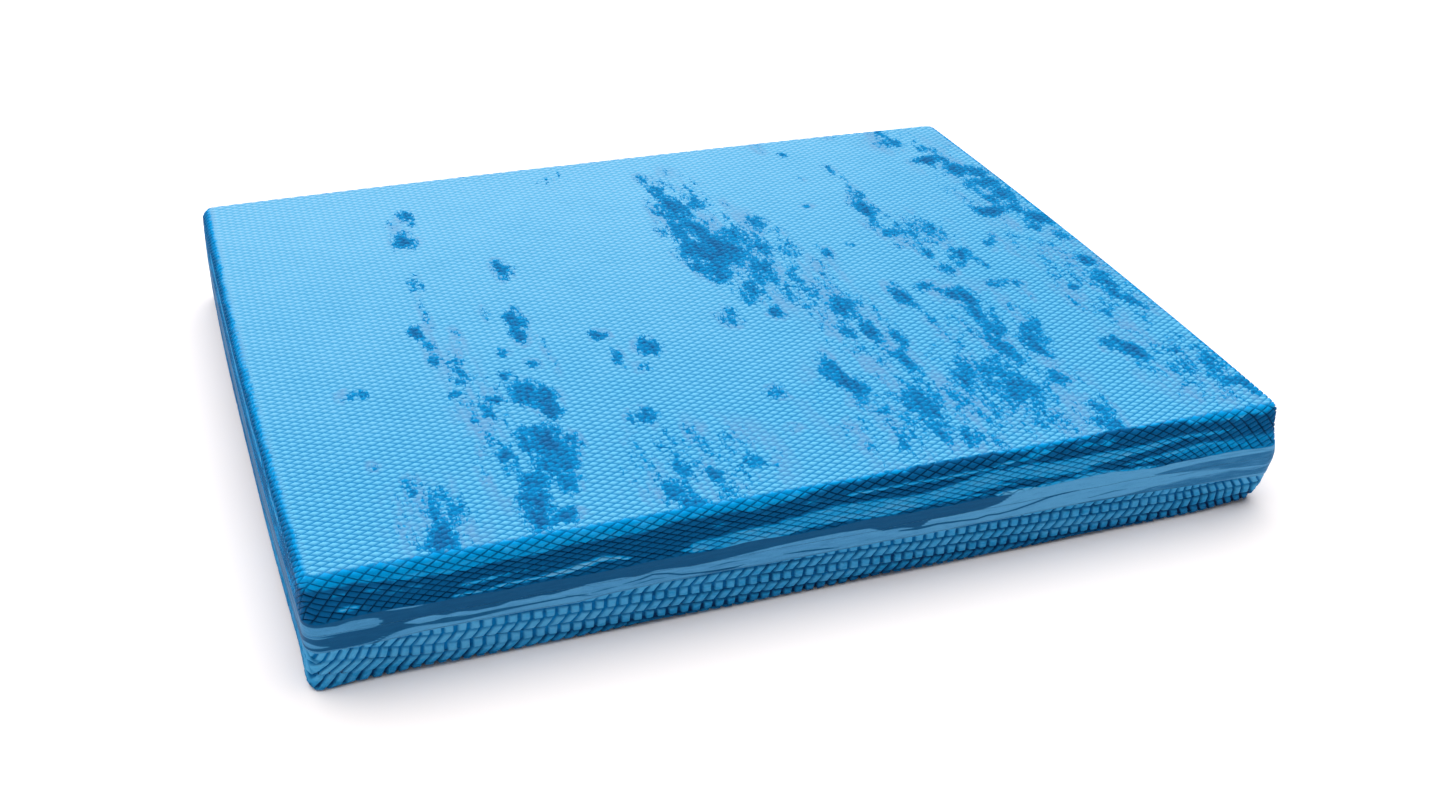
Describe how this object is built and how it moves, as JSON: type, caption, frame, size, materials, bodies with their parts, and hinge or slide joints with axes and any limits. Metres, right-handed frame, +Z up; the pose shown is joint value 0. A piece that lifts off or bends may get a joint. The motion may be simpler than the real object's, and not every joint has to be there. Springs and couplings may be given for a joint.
{
  "type": "balance pad",
  "caption": "Rectangular closed-cell foam balance pad with rounded edges, a fine lozenge grip on top and a coarse tread below.",
  "frame": {"origin": "centre of the flat underside, where the pad rests on the floor", "axes": "+X along the long side, +Y along the short side, +Z up through the pad's thickness"},
  "size_m": [0.5, 0.41, 0.06],
  "materials": {
    "tread_foam": "matt closed-cell foam, coarse moulded tread, marbled mid blue",
    "edge_band_foam": "smooth satin foam skin with fine flow lines, marbled light and dark blue",
    "dark_lozenge_foam": "matt foam with a fine lozenge emboss, mostly navy",
    "light_lozenge_foam": "matt foam with a fine lozenge emboss, light blue with darker streaks"
  },
  "bodies": {
    "root": {"base_ply": "tread_foam", "lower_ply": "tread_foam", "lower_middle_ply": "edge_band_foam", "upper_middle_ply": "edge_band_foam", "upper_ply": "dark_lozenge_foam", "top_ply": "light_lozenge_foam"}
  },
  "joints": []
}
